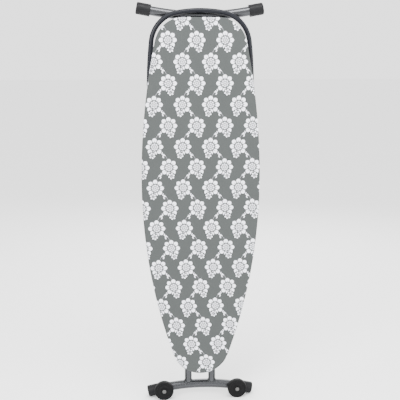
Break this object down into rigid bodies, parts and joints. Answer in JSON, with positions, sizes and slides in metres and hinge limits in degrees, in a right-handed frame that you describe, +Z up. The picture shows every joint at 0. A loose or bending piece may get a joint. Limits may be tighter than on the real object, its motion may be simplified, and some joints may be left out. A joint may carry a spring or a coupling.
{
  "type": "folding ironing board",
  "caption": "Folding ironing board: padded printed cover on a mesh top, crossed tube legs that open as a scissor, transport wheels, height lever and a tail hoop.",
  "frame": {"origin": "middle of the object's box on the floor, under the wheels", "axes": "+Z up along the folded board from nose to tail, +X across the board, +Y from the ironing surface back to the legs"},
  "size_m": [0.4674, 0.0741, 1.5156],
  "materials": {
    "printed_cotton": "matt printed weave",
    "felt": "needled felt",
    "charcoal_paint": "satin powder coat",
    "silver_paint": "satin metallic powder coat",
    "zinc": "zinc plated",
    "black_plastic": "fine grain",
    "grey_plastic": "satin",
    "black_rubber": "matt",
    "nylon": "satin"
  },
  "bodies": {
    "board": {"ironing_cover": "printed_cotton", "cover_edge": "printed_cotton", "cover_hem_tail": "printed_cotton", "cover_hem_corner_left": "printed_cotton", "cover_hem_corner_right": "printed_cotton", "cover_hem_upper_left": "printed_cotton", "cover_hem_upper_right": "printed_cotton", "cover_hem_side_left": "printed_cotton", "cover_hem_side_right": "printed_cotton", "cover_hem_nose": "printed_cotton", "padding": "felt", "mesh_top": "charcoal_paint", "top_rim": "charcoal_paint", "cross_braces": "charcoal_paint", "pivot_bracket_left": "zinc", "pivot_bracket_right": "zinc", "leg_pivot_pin_left": "zinc", "leg_pivot_pin_right": "zinc", "bracket_rivets": "zinc", "leg_buffers": "black_rubber", "height_rail_left": "zinc", "height_rail_right": "zinc", "tail_hoop": "charcoal_paint", "hoop_plugs": "black_plastic", "hoop_brackets": "charcoal_paint", "hoop_screws": "zinc"},
    "wheel_leg": {"wheel_leg_tube_left": "silver_paint", "wheel_leg_tube_right": "silver_paint", "wheel_leg_plate_left": "silver_paint", "wheel_leg_plate_right": "silver_paint", "wheel_leg_tie": "silver_paint", "wheel_foot_tube": "silver_paint", "wheel_foot_cap_left": "black_plastic", "wheel_foot_cap_right": "black_plastic", "wheel_saddle_left": "black_plastic", "wheel_saddle_right": "black_plastic", "wheel_axle_left": "zinc", "wheel_axle_right": "zinc", "hub_cap_left": "grey_plastic", "hub_cap_right": "grey_plastic", "crossing_bolt": "zinc", "crossing_nut": "zinc", "crossing_spacers": "black_plastic"},
    "left_wheel": {"wheel_left": "black_plastic"},
    "right_wheel": {"wheel_right": "black_plastic"},
    "tail_leg": {"tail_leg_tube": "silver_paint", "tail_leg_gussets": "silver_paint", "tail_foot_tube": "silver_paint", "tail_foot_cap_left": "black_plastic", "tail_foot_cap_right": "black_plastic", "crossing_bush": "nylon", "crossbar": "zinc", "rail_roller_left": "nylon", "rail_roller_right": "nylon", "crossbar_clips": "zinc"},
    "carriage": {"lever_carriage": "zinc", "lever_spring": "zinc"},
    "lever": {"release_lever": "zinc", "lever_grip": "black_plastic"}
  },
  "joints": [
    {"name": "leg_fold", "type": "hinge", "parent": "board", "child": "wheel_leg", "pos_m": [0, -0.01155, 1.19745], "axis": [1, 0, 0], "range_deg": [0, 51]},
    {"name": "leg_crossing", "type": "hinge", "parent": "wheel_leg", "child": "tail_leg", "pos_m": [0, 0.01505, 0.75745], "axis": [1, 0, 0], "range_deg": [-102, 0]},
    {"name": "carriage_level", "type": "hinge", "parent": "tail_leg", "child": "carriage", "pos_m": [0, -0.01155, 0.31745], "axis": [1, 0, 0], "range_deg": [0, 51]},
    {"name": "lever_squeeze", "type": "hinge", "parent": "carriage", "child": "lever", "pos_m": [0, -0.01155, 0.28345], "axis": [-1, 0, 0], "range_deg": [0, 8], "stiffness_Nm_per_rad": 0.8, "springref_deg": -6.88},
    {"name": "left_wheel_spin", "type": "hinge", "parent": "wheel_leg", "child": "left_wheel", "pos_m": [-0.1435, -0.01905, 0.037], "axis": [0, 1, 0], "continuous": true},
    {"name": "right_wheel_spin", "type": "hinge", "parent": "wheel_leg", "child": "right_wheel", "pos_m": [0.1435, -0.01905, 0.037], "axis": [0, 1, 0], "continuous": true}
  ],
  "couplings": [
    {"joint": "leg_crossing", "follows": "leg_fold", "ratio": -2},
    {"joint": "carriage_level", "follows": "leg_fold", "ratio": 1}
  ]
}
